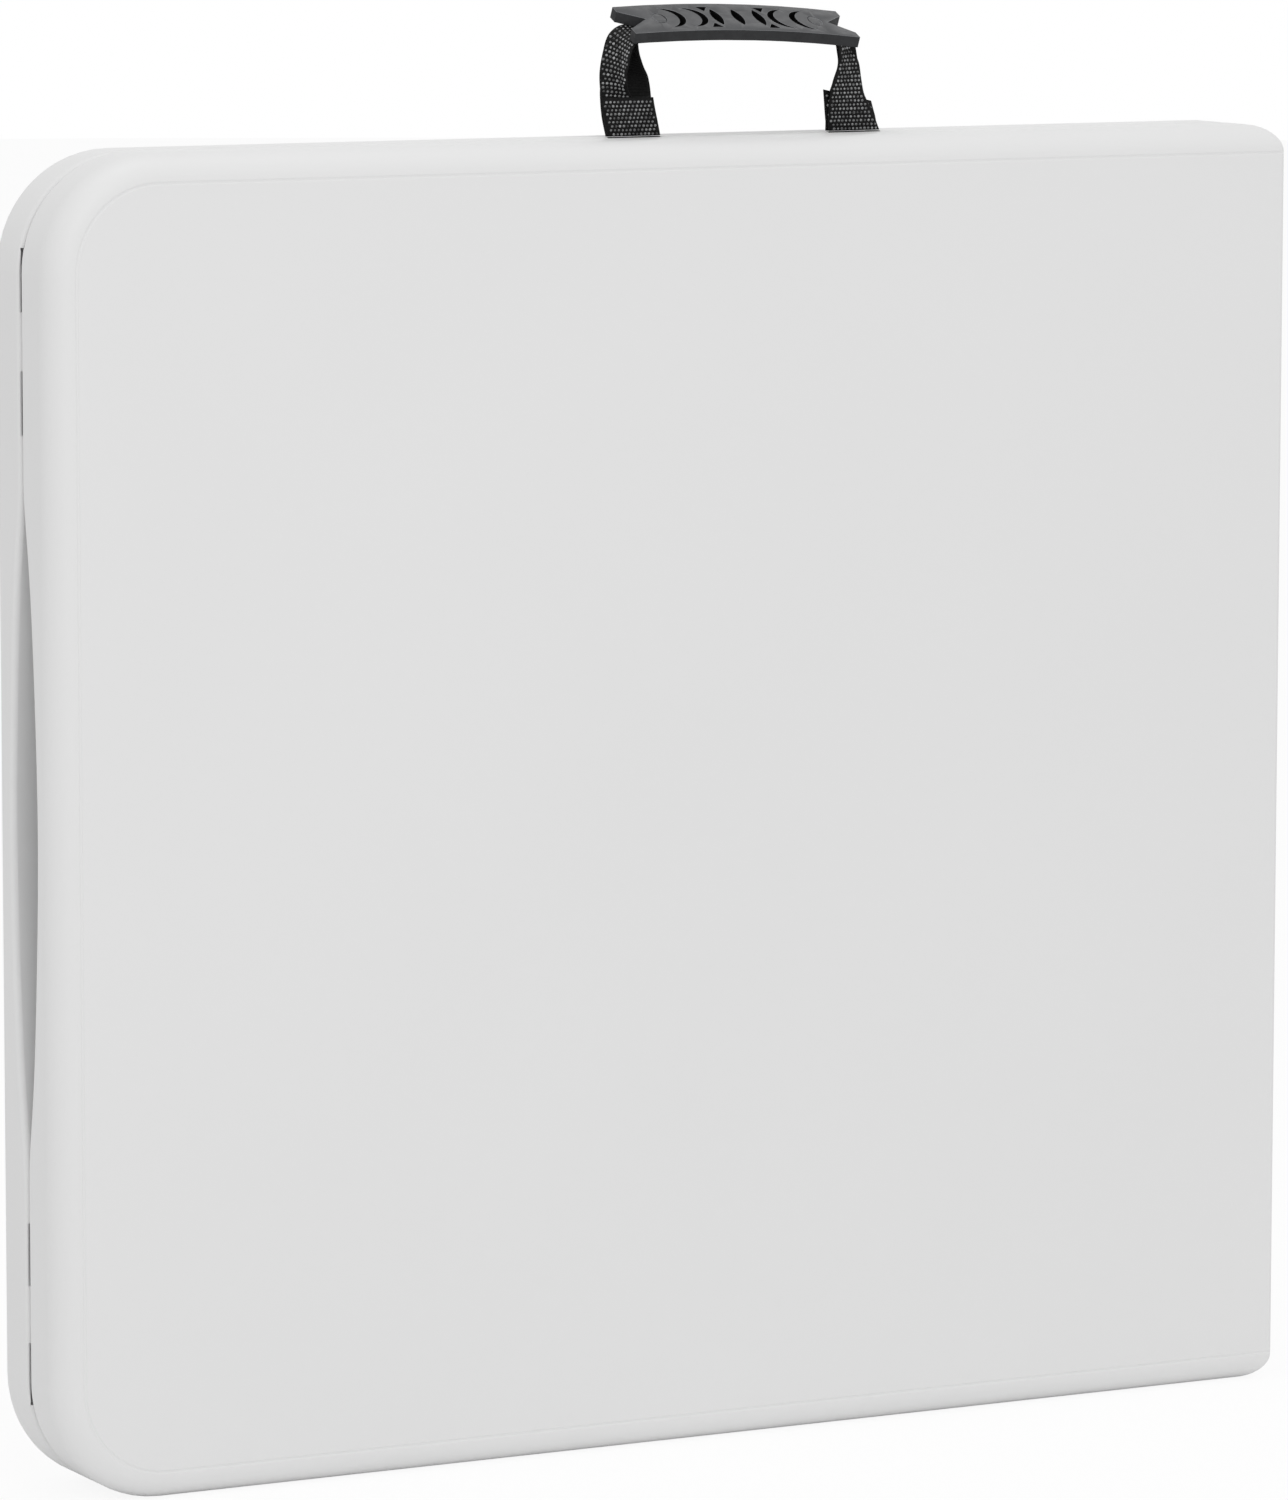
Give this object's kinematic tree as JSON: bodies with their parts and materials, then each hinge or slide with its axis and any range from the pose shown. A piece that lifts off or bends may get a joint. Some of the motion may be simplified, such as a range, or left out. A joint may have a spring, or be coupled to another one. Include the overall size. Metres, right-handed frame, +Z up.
{
  "type": "folding table",
  "caption": "Fold-in-half table closed flat like a case, with a moulded white top, folding height-adjustable legs inside and a webbing carry handle.",
  "frame": {"origin": "bottom centre of the closed table's box, on the edge that it stands on", "axes": "+X towards the hinge line, +Y from the front half to the rear half, +Z up to the carry handle"},
  "size_m": [0.765, 0.08, 0.7913],
  "materials": {
    "white_plastic": "blow-moulded white polyethylene, satin with a fine moulded grain",
    "grey_paint": "grey powder coat on steel tube and channel",
    "zinc_steel": "bright zinc-plated steel",
    "spring_steel": "plain spring steel",
    "black_nylon": "moulded black nylon",
    "foot_rubber": "moulded black foot cap",
    "black_webbing": "coarse black polypropylene webbing",
    "grip_plastic": "charcoal moulded plastic, satin"
  },
  "bodies": {
    "rear_half": {"rear_table_top": "white_plastic", "rear_side_rails": "grey_paint", "rear_rail_screws": "zinc_steel", "rear_pivot_bushes": "black_nylon", "rear_brace_bracket": "grey_paint", "rear_bracket_pin": "zinc_steel", "rear_bracket_screws": "zinc_steel", "rear_leg_clips": "black_nylon", "rear_hinge_leaves": "zinc_steel", "rear_hinge_screws": "zinc_steel", "hinge_pins": "zinc_steel", "strap_tails": "black_webbing", "strap_plates": "zinc_steel", "strap_screws": "zinc_steel"},
    "front_half": {"front_table_top": "white_plastic", "front_side_rails": "grey_paint", "front_rail_screws": "zinc_steel", "front_pivot_bushes": "black_nylon", "front_brace_bracket": "grey_paint", "front_bracket_pin": "zinc_steel", "front_bracket_screws": "zinc_steel", "front_leg_clips": "black_nylon", "front_hinge_leaves": "zinc_steel", "front_hinge_screws": "zinc_steel"},
    "rear_leg_frame": {"rear_leg_frame": "grey_paint", "rear_pivot_journals": "zinc_steel", "rear_leg_brace_pin": "zinc_steel"},
    "front_leg_frame": {"front_leg_frame": "grey_paint", "front_pivot_journals": "zinc_steel", "front_leg_brace_pin": "zinc_steel"},
    "rear_upper_brace": {"rear_upper_brace": "grey_paint", "rear_knee_rivet": "zinc_steel"},
    "front_upper_brace": {"front_upper_brace": "grey_paint", "front_knee_rivet": "zinc_steel"},
    "rear_lower_brace": {"rear_lower_brace": "grey_paint"},
    "front_lower_brace": {"front_lower_brace": "grey_paint"},
    "rear_low_leg": {"rear_low_lower_leg": "grey_paint", "rear_low_foot": "foot_rubber", "rear_low_snap_button": "spring_steel"},
    "rear_high_leg": {"rear_high_lower_leg": "grey_paint", "rear_high_foot": "foot_rubber", "rear_high_snap_button": "spring_steel"},
    "front_low_leg": {"front_low_lower_leg": "grey_paint", "front_low_foot": "foot_rubber", "front_low_snap_button": "spring_steel"},
    "front_high_leg": {"front_high_lower_leg": "grey_paint", "front_high_foot": "foot_rubber", "front_high_snap_button": "spring_steel"},
    "carry_handle": {"outer_end_strap": "black_webbing", "hinge_end_strap": "black_webbing", "handle_grip": "grip_plastic"}
  },
  "joints": [
    {"name": "table_fold", "type": "hinge", "parent": "rear_half", "child": "front_half", "pos_m": [0.3775, 0, 0.36], "axis": [0, 0, 1], "range_deg": [0, 180]},
    {"name": "rear_leg_swing", "type": "hinge", "parent": "rear_half", "child": "rear_leg_frame", "pos_m": [-0.3325, 0.015, 0.36], "axis": [0, 0, -1], "range_deg": [0, 90]},
    {"name": "rear_upper_brace_swing", "type": "hinge", "parent": "rear_half", "child": "rear_upper_brace", "pos_m": [0.0075, 0.02, 0.36], "axis": [0, 0, 1], "range_deg": [0, 42.32]},
    {"name": "rear_lower_brace_swing", "type": "hinge", "parent": "rear_leg_frame", "child": "rear_lower_brace", "pos_m": [-0.0325, 0.02, 0.36], "axis": [0, 0, -1], "range_deg": [0, 47.68]},
    {"name": "rear_low_leg_slide", "type": "slide", "parent": "rear_leg_frame", "child": "rear_low_leg", "axis": [1, 0, 0], "range_m": [0, 0.155]},
    {"name": "rear_high_leg_slide", "type": "slide", "parent": "rear_leg_frame", "child": "rear_high_leg", "axis": [1, 0, 0], "range_m": [0, 0.155]},
    {"name": "front_leg_swing", "type": "hinge", "parent": "front_half", "child": "front_leg_frame", "pos_m": [-0.3325, -0.015, 0.36], "axis": [0, 0, 1], "range_deg": [0, 90]},
    {"name": "front_upper_brace_swing", "type": "hinge", "parent": "front_half", "child": "front_upper_brace", "pos_m": [0.0075, -0.02, 0.36], "axis": [0, 0, -1], "range_deg": [0, 42.32]},
    {"name": "front_lower_brace_swing", "type": "hinge", "parent": "front_leg_frame", "child": "front_lower_brace", "pos_m": [-0.0325, -0.02, 0.36], "axis": [0, 0, 1], "range_deg": [0, 47.68]},
    {"name": "front_low_leg_slide", "type": "slide", "parent": "front_leg_frame", "child": "front_low_leg", "axis": [1, 0, 0], "range_m": [0, 0.155]},
    {"name": "front_high_leg_slide", "type": "slide", "parent": "front_leg_frame", "child": "front_high_leg", "axis": [1, 0, 0], "range_m": [0, 0.155]},
    {"name": "handle_swing", "type": "hinge", "parent": "rear_half", "child": "carry_handle", "pos_m": [0.053, 0.0052, 0.7221], "axis": [1, 0, 0], "range_deg": [-70, 70]}
  ],
  "couplings": [
    {"joint": "rear_leg_swing", "follows": "table_fold", "ratio": 0.5},
    {"joint": "rear_upper_brace_swing", "follows": "table_fold", "ratio": 0.23509},
    {"joint": "rear_lower_brace_swing", "follows": "table_fold", "ratio": 0.26491},
    {"joint": "front_leg_swing", "follows": "table_fold", "ratio": 0.5},
    {"joint": "front_upper_brace_swing", "follows": "table_fold", "ratio": 0.23509},
    {"joint": "front_lower_brace_swing", "follows": "table_fold", "ratio": 0.26491}
  ]
}
